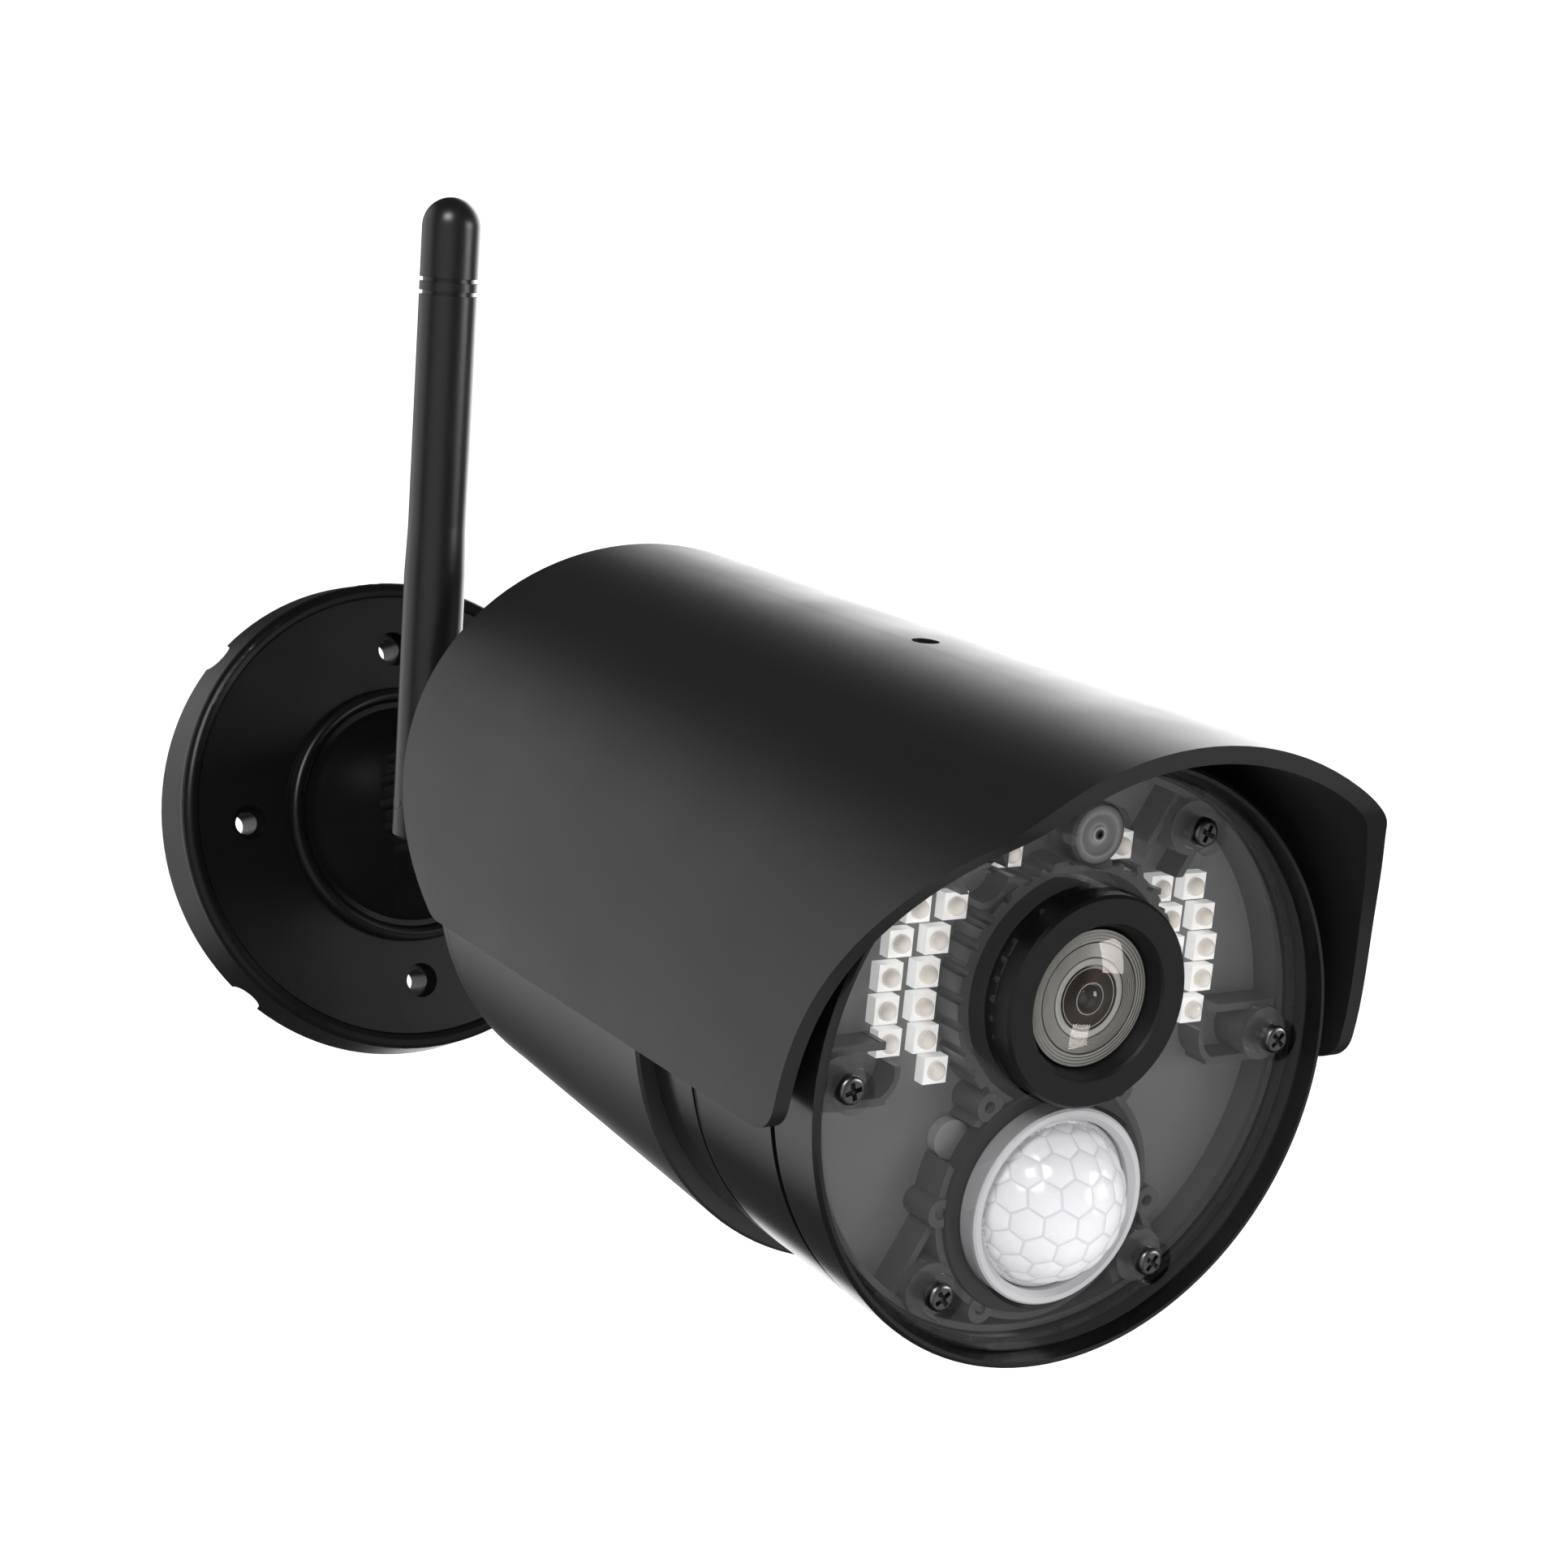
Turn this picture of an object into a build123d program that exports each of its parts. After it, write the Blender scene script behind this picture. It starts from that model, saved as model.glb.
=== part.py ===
from build123d import *

import math
import os

# Wall-mounted bullet security camera. Millimetres.
# Row frame: origin at the centre of the wall base's back face, wall plane at y = 0, +Z up,
# the camera looks towards -Y and nods down. The camera itself is drawn in its own frame:
# x to the right, y backwards from the front ring's face, z up, with its axis on Y.

# ---- driving dimensions -------------------------------------------------------------
RING_R = 40.0            # outer radius of the front ring, the size that the rest follows
NOD = 20.0               # degrees that the camera nods down at rest
PIVOT_OUT = 61.0         # ball centre to wall plane
PIVOT_BACK = 148.0       # ball centre to the front ring's face, along the camera's axis
REAR_FACE = 110.5        # outside of the rear cap, along the camera's axis
RUNNING = 0.05           # radial clearance of a turning fit
GROOVE = 1.2             # width of the seams between the casing's rings
SEAL_R = 0.54            # half thickness of the ring that fills one of them

# wall base
BASE_R = 43.3
BASE_FACE = 8.6          # height of the disc's face above the wall
SCREW_CIRCLE_R = 30.25
SCREW_HOLE_R = 2.0
NECK_R = 14.2
THREAD_R = 13.4          # the neck's threaded end, inside the lock collar
THREAD_START = 45.0
NECK_TOP = 59.5
SEAT_R = 12.2
BALL_R = 11.0

# camera casing
LIP_R = 39.0             # inside of the front ring's lip
WINDOW_R = 38.2
WINDOW_FRONT = 1.5
WINDOW_BACK = 4.5
CASE_BORE_R = 37.4
RING_END = 9.4
FRONT_END = 29.4
STEP = 40.6              # where the wider rear shell starts
SHELL_END = 104.0
SHELL_R = 41.4           # rear shell's radius at the step
SHELL_TAIL_R = 38.4      # and at its rear end
BOARD_Z = -15.8          # underside of the main board
BOARD_T = 1.6
BOARD_SCREW_X = 20.0
BOARD_SCREW_Y = (54.0, 92.0)

# window openings
LENS_Z = 9.0
HOOD_R = 13.85
PIR_Z = -19.0
PIR_FLANGE_R = 13.2
PIR_DOME_R = 10.8
PIR_DOME_RISE = 8.5
MIC_Z = 29.6
MIC_R = 4.1
WINDOW_SCREW_R = 33.5    # circle of the six window screws

# illuminator board
BOARD_FRONT = 10.4
BOARD_BACK = 12.0
LED_SIDE = 3.5
LED_HEIGHT = 1.8
LED_DOME_R = 1.25
LED_ARC_R = 19.6         # inner column, a circle about the lens
LED_COLUMN = 5.5         # outer column stands this far out
LED_PITCH = 4.25
LED_TOP_ROW = 10.9       # above the lens axis

# sunshield
SHIELD_R = 45.6
SHIELD_WALL = 2.2
SHIELD_LOW = -4.0        # height of its lower edges
SHIELD_REAR = 118.2
SHIELD_REAR_ARC = 60.8
SHIELD_SCREW_Y = 43.2

# antenna
ANT_X = -29.7
ANT_Z = 3.0
ANT_PIN_Y = 130.0
ANT_LEAN = 2.3           # degrees past square, at rest
MAST_FOOT = -5.6
MAST_R = 4.4
MAST_SLEEVE_R = 4.65
TIP_START = 80.4
TIP_DOME = 87.9          # centre of the tip's round end
TONGUE = 4.0

CAMERA = Pos(0, -PIVOT_OUT, 0) * Rot(NOD, 0, 0) * Pos(0, -PIVOT_BACK, 0)
ANTENNA = CAMERA * Pos(ANT_X, ANT_PIN_Y, ANT_Z) * Rot(-ANT_LEAN, 0, 0)


# ---- helpers ------------------------------------------------------------------------
def turned(points):
    """Body of revolution about Y through closed (radius, station) points."""
    return revolve(make_face(Polyline(*points, close=True)), Axis.Y)


def turned_lines(lines):
    """Body of revolution about Y from joined lines and arcs."""
    return revolve(make_face(lines), Axis.Y)


def rod(radius, start, end, x=0.0, z=0.0):
    """Solid cylinder along Y from one station to another."""
    return Pos(x, (start + end) / 2, z) * Rot(90, 0, 0) * Cylinder(radius, end - start)


def tube(outer, inner, start, end, x=0.0, z=0.0):
    """Hollow cylinder along Y."""
    return rod(outer, start, end, x, z) - rod(inner, start - 1, end + 1, x, z)


def block(x0, x1, y0, y1, z0, z1):
    """Box between two corners."""
    return Pos((x0 + x1) / 2, (y0 + y1) / 2, (z0 + z1) / 2) * Box(x1 - x0, y1 - y0, z1 - z0)


def hexagon(across, start, end, x=0.0, z=0.0):
    """Hexagonal prism along Y."""
    prism = extrude(RegularPolygon(across / 2, 6, major_radius=False), end - start)
    return Pos(x, end, z) * Rot(90, 0, 0) * prism


def on_circle(radius, degrees, x=0.0, z=0.0):
    """Point on a circle in the XZ plane, degrees from +X towards +Z."""
    a = math.radians(degrees)
    return x + radius * math.cos(a), z + radius * math.sin(a)


def wall_arc(radius, thickness, start_deg, end_deg, y0, y1, x=0.0, z=0.0):
    """Curved wall on a circle about a Y axis."""
    half = (start_deg + end_deg) / 2
    sweep = (end_deg - start_deg) / 2
    reach = 4 * radius
    corners = [
        (0, 0),
        (reach * math.cos(math.radians(-sweep)), reach * math.sin(math.radians(-sweep))),
        (reach, 0),
        (reach * math.cos(math.radians(sweep)), reach * math.sin(math.radians(sweep))),
    ]
    wedge = extrude(make_face(Polyline(*corners, close=True)), y1 - y0)
    wedge = Pos(x, y1, z) * Rot(90, 0, 0) * Rot(0, 0, half) * wedge
    return tube(radius + thickness / 2, radius - thickness / 2, y0, y1, x, z) & wedge


def cross_recess(width, depth):
    """Phillips recess, cut downwards from the XY plane."""
    arm = Box(width, width * 0.27, depth * 2) + Box(width * 0.27, width, depth * 2)
    point = Cone(width * 0.12, width * 0.3, depth * 0.8)
    return arm + Pos(0, 0, -depth) * point


def machine_screw(head_r, head_h, shank_r, length):
    """Pan-head screw standing on the XY plane, shank downwards."""
    head = Cylinder(head_r, head_h, align=(Align.CENTER, Align.CENTER, Align.MIN))
    head = fillet(head.edges().group_by(Axis.Z)[-1], head_h * 0.45)
    shank = Cylinder(shank_r, length, align=(Align.CENTER, Align.CENTER, Align.MAX))
    return head + shank - Pos(0, 0, head_h) * cross_recess(head_r * 1.25, head_h * 0.55)


def window_screw_places():
    """The six screws of the window: on the horizontal and 60 degrees either side of it."""
    return [on_circle(WINDOW_SCREW_R, angle) for angle in range(0, 360, 60)]


def led_places():
    """(x, z) of every infrared diode, left and right."""
    places = []
    for row in range(6):
        z = LED_TOP_ROW - row * LED_PITCH
        x = math.sqrt(LED_ARC_R**2 - z**2)
        columns = [x, x + LED_COLUMN] if row < 5 else [x]
        places += [(column, LENS_Z + z) for column in columns]
    places.append((8.7, 26.1))
    return places + [(-x, z) for x, z in places]


# ---- wall side ----------------------------------------------------------------------
def wall_base():
    """Disc with skirt, rim bead, boss ring and flared neck, hollow behind."""
    outline = [
        Line((BASE_R, 0), (42.5, -7.4)),
        ThreePointArc((42.5, -7.4), (42.0, -8.9), (40.9, -9.4)),
        Line((40.9, -9.4), (40.1, -9.1)),
        Line((40.1, -9.1), (39.7, -BASE_FACE)),
        Line((39.7, -BASE_FACE), (22.9, -BASE_FACE)),
        ThreePointArc((22.9, -BASE_FACE), (21.6, -10.7), (20.4, -9.6)),
        Line((20.4, -9.6), (19.4, -9.6)),
        ThreePointArc((19.4, -9.6), (15.7, -18.0), (NECK_R, -32.0)),
        Line((NECK_R, -32.0), (NECK_R, -THREAD_START)),
        Line((NECK_R, -THREAD_START), (THREAD_R, -THREAD_START)),
        Line((THREAD_R, -THREAD_START), (THREAD_R, -NECK_TOP)),
        Line((THREAD_R, -NECK_TOP), (SEAT_R + RUNNING, -NECK_TOP)),
        Line((SEAT_R + RUNNING, -NECK_TOP), (SEAT_R + RUNNING, -47)),
        Line((SEAT_R + RUNNING, -47), (0, -47)),
        Line((0, -47), (0, -44)),
        Line((0, -44), (9.5, -44)),
        Line((9.5, -44), (11.0, -18)),
        Line((11.0, -18), (16.0, -6)),
        Line((16.0, -6), (40.2, -6)),
        Line((40.2, -6), (40.8, 0)),
        Line((40.8, 0), (BASE_R, 0)),
    ]
    base = turned_lines(outline)
    for angle in range(0, 360, 90):
        x, z = on_circle(SCREW_CIRCLE_R, angle)
        base += rod(4.6, -BASE_FACE, 0, x, z)
        rib = block(15.5, 40.6, -7, -1.5, -0.9, 0.9)
        base += Rot(0, angle + 45, 0) * rib
    for angle in range(0, 360, 90):
        x, z = on_circle(SCREW_CIRCLE_R, angle)
        base -= rod(SCREW_HOLE_R, -12, 1, x, z)
        base -= rod(3.1, -12, 1.9 - BASE_FACE, x, z)
        notch = Pos(BASE_R - 2, 0, 0) * Rot(0, 90, 0) * Cylinder(3.0, 9)
        base -= Rot(0, angle + 45, 0) * notch
    return base


def lock_collar():
    """Scalloped grip ring and a tapered nose whose lip holds the ball's front half."""
    grip = Circle(15.8) + PolarLocations(15.5, 24) * Circle(1.15)
    grip = Pos(0, -45.0, 0) * Rot(-90, 0, 0) * extrude(grip, 11.5)
    nose = turned([
        (0, -44.5), (15.8, -44.5), (15.8, -47.8), (15.5, -48.2), (14.4, -60.5), (13.7, -63.6),
        (12.6, -64.5), (0, -64.5),
    ])
    cavity = turned([
        (0, -30), (NECK_R + RUNNING, -30), (NECK_R + RUNNING, -THREAD_START - 0.3),
        (THREAD_R + RUNNING, -THREAD_START - 0.3), (THREAD_R + RUNNING, -60.3), (0, -60.3),
    ])
    socket = Pos(0, -PIVOT_OUT, 0) * Sphere(BALL_R + RUNNING)
    return grip + nose - cavity - socket


def ball_seat():
    """Cup behind the ball, free to turn in the neck."""
    cup = rod(SEAT_R, -60.2, -47.2)
    return cup - Pos(0, -PIVOT_OUT, 0) * Sphere(BALL_R + RUNNING)


def ball_stem():
    """Ball, shank and threaded end, on the camera's axis."""
    ball = Pos(0, PIVOT_BACK, 0) * Sphere(BALL_R)
    shank = turned([
        (0, 98.5), (3.2, 98.5), (4.0, 99.3), (4.0, 121.5), (4.5, 122.5), (4.5, 141), (0, 141),
    ])
    return ball + shank


def stem_nut():
    """Knurled nut that clamps the stem to the rear cap."""
    knurl = Circle(9.4) + PolarLocations(9.3, 18) * Circle(0.9)
    nut = Pos(0, REAR_FACE + 8.2, 0) * Rot(90, 0, 0) * extrude(knurl, 6.0)
    return nut - rod(4.0 + RUNNING, 100, 130)


# ---- casing -------------------------------------------------------------------------
def front_ring():
    """Front of the casing: a thin lip about the window and a sleeve inside the housing."""
    return turned([
        (LIP_R, 0), (39.5, 0), (RING_R, 0.5), (39.7, RING_END), (38.4, RING_END), (38.4, 14),
        (CASE_BORE_R, 14), (CASE_BORE_R, WINDOW_BACK + 0.8), (LIP_R, WINDOW_BACK + 0.8),
    ])


def front_housing():
    """Second ring of the casing."""
    start = RING_END + GROOVE
    return turned([
        (39.6, start), (39.25, FRONT_END), (38.0, FRONT_END), (38.0, 36), (36.2, 36),
        (36.2, 14.2), (38.45, 14.2), (38.45, start),
    ])


def mid_housing():
    """Third ring of the casing, on a spigot inside the rear shell."""
    start = FRONT_END + GROOVE
    return turned([
        (39.2, start), (39.0, STEP - 0.1), (38.85, STEP), (38.85, 47), (36.2, 47), (36.2, 36.3),
        (38.05, 36.3), (38.05, start),
    ])


def housing_seal():
    """O-ring between the front and middle rings of the casing."""
    return Pos(0, FRONT_END + GROOVE / 2, 0) * Rot(90, 0, 0) * Torus(38.6, SEAL_R)


def rear_shell():
    """Tapered tube that carries the boards and the sunshield's screw post."""
    wall = 2.3
    shell = turned([
        (SHELL_R - 0.4, STEP), (SHELL_R, STEP + 0.4), (SHELL_TAIL_R, SHELL_END),
        (SHELL_TAIL_R - wall, SHELL_END), (SHELL_TAIL_R - wall + 0.4, 90), (38.3, 47.2),
        (38.95, 47.2), (38.95, STEP),
    ])
    post = Pos(0, SHIELD_SCREW_Y, 41.8) * Cylinder(3.0, 3.0)
    shell += post - rod(38.96, 30, 60)
    shell -= Pos(0, SHIELD_SCREW_Y, 41.5) * Cylinder(0.9, 4.2)
    for x in (-BOARD_SCREW_X, BOARD_SCREW_X):
        shell += block(x - 1.9, x + 1.9, 50, 96, -40, BOARD_Z) & rod(38.0, 50, 96)
        for y in BOARD_SCREW_Y:
            shell -= Pos(x, y, BOARD_Z) * Cylinder(1.0, 10)
    for row in range(5):
        y = 62 + row * 3.2
        shell -= block(-9, 9, y, y + 1.2, -50, -30)
    return shell


def rear_cap():
    """Closed end with the stem's threaded boss, four screw holes, the antenna and cable openings."""
    lip = SHELL_TAIL_R - 2.4
    outline = [
        Line((0, 98), (10, 98)),
        Line((10, 98), (10, 107.5)),
        Line((10, 107.5), (lip - 2, 107.5)),
        Line((lip - 2, 107.5), (lip - 2, 100)),
        Line((lip - 2, 100), (lip, 100)),
        Line((lip, 100), (lip, SHELL_END + 0.1)),
        Line((lip, SHELL_END + 0.1), (SHELL_TAIL_R, SHELL_END + 0.1)),
        Line((SHELL_TAIL_R, SHELL_END + 0.1), (SHELL_TAIL_R, 104.5)),
        ThreePointArc((SHELL_TAIL_R, 104.5), (36.64, 108.74), (32.4, REAR_FACE)),
        Line((32.4, REAR_FACE), (12.5, REAR_FACE)),
        Line((12.5, REAR_FACE), (12, REAR_FACE + 1.8)),
        Line((12, REAR_FACE + 1.8), (0, REAR_FACE + 1.8)),
        Line((0, REAR_FACE + 1.8), (0, 98)),
    ]
    cap = turned_lines(outline)
    cap -= rod(4.0 + RUNNING, 90, 120)
    cap -= rod(3.2, 100, 115, ANT_X, ANT_Z)
    cap -= rod(4.6, 100, 115, 0, -22)
    for x, z in rear_cap_screw_places():
        cap += tube(3.2, 1.3, 100.5, 108, x, z)
        cap -= rod(2.3, 108.6, 120, x, z)
        cap -= rod(1.3, 95, 120, x, z)
    return cap


def rear_cap_screw_places():
    """The four corner screws of the rear cap."""
    return [on_circle(29.0, angle) for angle in (45, 135, 225, 315)]


def rear_edge(z):
    """Station of the sunshield's swept-back rear edge at a height."""
    sweep = math.sqrt(SHIELD_REAR_ARC**2 - (SHIELD_R - z) ** 2)
    return SHIELD_REAR - SHIELD_REAR_ARC + sweep


def sunshield():
    """Arched hood over the whole camera: swept-back rear, overhanging front lip."""
    reach = 60.0
    inner = SHIELD_R - SHIELD_WALL
    shell = tube(SHIELD_R, inner, -30, 130)
    rear_mid_z = 15.0
    rear_low, rear_mid = (rear_edge(z) for z in (SHIELD_LOW, rear_mid_z))
    brow = -17.6
    front = [(brow, 39.5), (-14.2, 33.0), (-8.0, 25.3), (-3.8, 17.5), (-1.2, 9.0), (1.2, SHIELD_LOW)]
    side = [
        Line((brow, 50), (SHIELD_REAR, 50)),
        Line((SHIELD_REAR, 50), (SHIELD_REAR, SHIELD_R)),
        ThreePointArc((SHIELD_REAR, SHIELD_R), (rear_mid, rear_mid_z), (rear_low, SHIELD_LOW)),
        Line((rear_low, SHIELD_LOW), (1.2, SHIELD_LOW)),
        Spline(*reversed(front), tangents=((-0.25, 1), (0, 1))),
        Line((brow, 39.5), (brow, 50)),
    ]
    profile = make_face(side)
    corners = profile.vertices().sort_by(Axis.Y)[:2]
    profile = fillet(corners, 4.5)
    # the profile's (x, y) are the camera's (y, z)
    mask = extrude(Plane.YZ * profile, reach, both=True)
    shield = shell & mask
    shield -= Pos(0, SHIELD_SCREW_Y, SHIELD_R) * Cylinder(1.9, 8)
    for angle in (35, 145):
        rail = block(42.0, inner + 0.2, 46, 88, -1.0, 1.0)
        shield += Rot(0, -angle, 0) * rail
    return shield


def rear_cap_screws():
    """Four screws of the rear cap."""
    screw = Rot(-90, 0, 0) * machine_screw(2.1, 1.4, 1.25, 8.0)
    return [Pos(x, 108.6, z) * screw for x, z in rear_cap_screw_places()]


def sunshield_screw():
    """Screw in the well at the top of the shield."""
    screw = machine_screw(1.7, 1.1, 0.85, 3.6)
    return Pos(0, SHIELD_SCREW_Y, SHIELD_R - SHIELD_WALL - 0.08) * screw


# ---- front end ----------------------------------------------------------------------
def window():
    """Clear smoked plate with openings for the lens and the motion sensor and six screw wells."""
    plate = turned([
        (0, WINDOW_FRONT), (WINDOW_R - 0.4, WINDOW_FRONT), (WINDOW_R, WINDOW_FRONT + 0.4),
        (WINDOW_R, WINDOW_BACK), (0, WINDOW_BACK),
    ])
    plate -= rod(HOOD_R + 0.35, -5, 8, 0, LENS_Z)
    plate -= rod(PIR_FLANGE_R + 0.55, -5, 8, 0, PIR_Z)
    plate -= rod(MIC_R + 0.15, -5, 8, 0, MIC_Z)
    for x, z in window_screw_places():
        plate -= rod(2.9, 0, 3.2, x, z)
        plate -= rod(1.25, 0, 8, x, z)
    return plate


def window_screws():
    """Six cross-head screws, each stopped at its own angle."""
    screw = machine_screw(1.9, 1.5, 1.1, 6.5)
    turns = [Rot(90, 0, 0) * Rot(0, 0, 45 + 20 * i) for i in range(6)]
    return [Pos(x, 3.2, z) * turn * screw for turn, (x, z) in zip(turns, window_screw_places())]


def front_frame():
    """Moulded skeleton between the window and the illuminator board."""
    top = WINDOW_BACK + 0.1
    floor = BOARD_FRONT
    frame = tube(37.2, 36.3, top + 1.0, floor)
    for i, (x, z) in enumerate(window_screw_places()):
        frame += rod(3.6, top, floor, x, z) & rod(37.2, 0, 20)
        turn = Rot(0, -60 * i, 0)
        for side in (-1, 1):
            frame += turn * block(25.5, 36.6, top + 1.6, floor, side * 3.6 - 0.5, side * 3.6 + 0.5)
        frame += turn * wall_arc(3.9, 0.8, 100, 260, top + 1.6, floor, 28.0, 0) & rod(37.2, 0, 20)
    for start in (10, -52):
        frame += wall_arc(31.2, 1.0, start, start + 42, top + 2.6, floor)
        frame += wall_arc(31.2, 1.0, 180 - start - 42, 180 - start, top + 2.6, floor)
    # toothed collar about the lens hood and cup wall about the motion sensor
    collar = tube(17.0, 15.4, top + 0.4, floor, 0, LENS_Z)
    for tooth in range(30):
        x, z = on_circle(16.9, tooth * 12, 0, LENS_Z)
        collar -= rod(0.7, top - 1, floor + 1, x, z)
    cup = tube(16.6, 15.6, top + 0.6, floor, 0, PIR_Z)
    hood_room = rod(15.4, 0, 20, 0, LENS_Z)
    pir_room = rod(15.6, 0, 20, 0, PIR_Z)
    frame += collar - pir_room
    frame += (cup - hood_room) & rod(37.2, 0, 20)
    for x, z in ((-10.4, -5.6), (10.4, -5.6), (-16.2, -19.0), (17.2, -21.5), (-8.2, -33.0)):
        post = rod(1.9, top + 0.2, floor, x, z) - rod(0.8, top - 1, floor - 1, x, z)
        frame += post - pir_room
    for x, z in window_screw_places():
        frame -= rod(1.12, 0, 12, x, z)
    for x, z in led_places():
        room = LED_SIDE / 2 + 0.4
        frame -= block(x - room, x + room, 2, floor + 1, z - room, z + room)
    frame -= rod(4.6, 0, 20, 0, MIC_Z)
    frame -= rod(3.0, 0, 20, -12.8, -11.0)
    frame -= hood_room
    frame -= pir_room
    # crumbs left between the openings are dropped: the moulding is its largest solid
    return frame.solids().sort_by(SortBy.VOLUME)[-1]


def led_board():
    """Round board with openings for the lens and the motion sensor."""
    board = rod(37.0, BOARD_FRONT, BOARD_BACK)
    board -= rod(11.2, 5, 20, 0, LENS_Z)
    board -= rod(12.0, 5, 20, 0, PIR_Z)
    return board


def led_packages():
    """Square white cups that hold the diodes."""
    packages = []
    for x, z in led_places():
        half = LED_SIDE / 2
        cup = block(x - half, x + half, BOARD_FRONT - LED_HEIGHT, BOARD_FRONT, z - half, z + half)
        packages.append(cup - rod(LED_DOME_R + 0.05, 0, BOARD_FRONT - 1.2, x, z))
    return packages


def led_domes():
    """Clear lens on each package."""
    domes = []
    face = BOARD_FRONT - LED_HEIGHT
    for x, z in led_places():
        body = rod(LED_DOME_R, face - 0.1, BOARD_FRONT - 1.2, x, z)
        domes.append(body + Pos(x, face - 0.1, z) * (Sphere(LED_DOME_R) & Pos(0, -2, 0) * Box(4, 4, 4)))
    return domes


def lens_hood():
    """Black ring about the lens, with a bevelled mouth."""
    hood = turned([
        (10.3, -1.2), (13.45, -1.2), (HOOD_R, -0.8), (HOOD_R, 5.0), (13.0, 5.4), (13.0, BOARD_FRONT),
        (9.9, BOARD_FRONT), (9.9, 3.2), (9.0, 2.6), (9.0, 1.7), (10.0, -0.9),
    ])
    return Pos(0, 0, LENS_Z) * hood


def lens_barrel():
    """Lens cell with a stepped light trap at the front and the M12 thread behind."""
    mouth_r, mouth = 8.1, 3.9
    throat_r, throat = 4.3, 7.0
    outline = [
        (mouth_r, 3.2), (9.7, 3.2), (9.7, 9.4), (6.0, 9.4), (6.0, 24.0), (4.9, 24.0), (4.9, 12.4),
        (throat_r, 12.4), (throat_r, throat),
    ]
    steps = 8
    for step in range(1, steps):
        radius = throat_r + (mouth_r - throat_r) * step / steps
        depth = throat - (throat - mouth) * step / steps
        outline += [(radius - 0.3, depth), (radius, depth)]
    outline += [(mouth_r, mouth)]
    return Pos(0, 0, LENS_Z) * turned(outline)


def lens_retaining_ring():
    """Thin bright ring that holds the front element."""
    ring = turned([(8.0, 2.4), (8.3, 2.0), (8.9, 2.0), (8.9, 2.7), (9.6, 3.15), (8.0, 3.15)])
    return Pos(0, 0, LENS_Z) * ring


def lens_element(radius, front, back, rise, dish=0.0):
    """Lens: domed front that rises from its edge, back flat or hollowed."""
    dome = cap_arc(radius, front, rise)
    hollow = cap_arc(radius, back, dish) if dish else Line((0, back), (radius, back))
    sides = [Line(dome @ 1, hollow @ 1), Line(dome @ 0, hollow @ 0)]
    return Pos(0, 0, LENS_Z) * turned_lines([dome, hollow] + sides)


def cap_arc(radius, edge, rise):
    """Arc from the Y axis out to a radius: its middle stands forward of its edge."""
    arc_r = (radius**2 + rise**2) / (2 * rise)
    return CenterArc((0, edge - rise + arc_r), arc_r, -90, math.degrees(math.asin(radius / arc_r)))


def lens_holder():
    """Threaded barrel on a square foot that stands on the imaging board."""
    holder = tube(8.6, 6.0 + 0.02, 13, 21)
    holder += block(-13, 13, 19, 21, -13, 13) - rod(6.02, 10, 30)
    skirt = block(-13, 13, 21, 30.3, -13, 13) - block(-11.5, 11.5, 20.9, 31, -11.5, 11.5)
    return Pos(0, 0, LENS_Z) * (holder + skirt)


def ir_cut_frame():
    """Guide for the sliding infrared filter, between lens and sensor."""
    guide = block(-11.4, 11.4, 24.3, 28.2, -11.4, 11.4)
    guide -= block(-9.6, 9.6, 25.3, 27.2, -4.6, 4.6)
    guide -= rod(3.6, 20, 30)
    return Pos(0, 0, LENS_Z) * guide


def ir_cut_shutter():
    """Filter carrier: at rest the filter stands in front of the sensor."""
    carrier = block(-4.2, 9.2, 25.6, 26.9, -4.2, 4.2) - block(-3.2, 3.2, 25, 26.4, -3.2, 3.2)
    carrier -= block(-2.9, 2.9, 25, 28, -2.9, 2.9)
    return Pos(0, 0, LENS_Z) * carrier


def ir_cut_glass():
    """The filter itself, in the carrier's recess."""
    return Pos(0, 0, LENS_Z) * block(-3.2, 3.2, 25.75, 26.4, -3.2, 3.2)


def image_board():
    """Square board behind the lens holder."""
    return block(-19, 19, 30.4, 32.0, LENS_Z - 19, LENS_Z + 19)


def image_sensor():
    """Sensor package."""
    return Pos(0, 0, LENS_Z) * block(-4.5, 4.5, 29.0, 30.4, -4.5, 4.5)


def pir_lens():
    """Motion sensor's dome on a flat flange."""
    ball_r = (PIR_DOME_R**2 + PIR_DOME_RISE**2) / (2 * PIR_DOME_RISE)
    seat = 3.2
    centre = seat - PIR_DOME_RISE + ball_r
    wall = 0.8
    cap = Sphere(ball_r) - Sphere(ball_r - wall)
    cap = Pos(0, centre, 0) * cap & block(-20, 20, -20, seat, -20, 20)
    flange = tube(11.3, PIR_DOME_R - wall, seat, seat + 1.0)
    return Pos(0, 0, PIR_Z) * (cap + flange)


def pir_bezel():
    """Translucent clamping ring about the dome."""
    ring = turned([
        (11.45, 3.4), (11.45, 2.3), (12.2, 1.6), (PIR_FLANGE_R - 0.3, 1.6), (PIR_FLANGE_R, 1.9),
        (PIR_FLANGE_R, 6.6), (9.8, 6.6), (9.8, 4.3), (11.45, 4.3),
    ])
    return Pos(0, 0, PIR_Z) * ring - rod(HOOD_R + 0.1, -5, 20, 0, LENS_Z)


def pir_gasket():
    """Rubber ring behind the window, round the motion sensor's opening."""
    ring = tube(15.4, PIR_FLANGE_R + 0.1, WINDOW_BACK + 0.1, 7.0, 0, PIR_Z)
    return ring - rod(HOOD_R + 0.2, -5, 20, 0, LENS_Z)


def pir_sensor():
    """Metal can on its board, behind the dome."""
    can = rod(4.6, 11.0, 15.2) + rod(5.0, 14.6, 15.2)
    return Pos(0, 0, PIR_Z) * can


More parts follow.
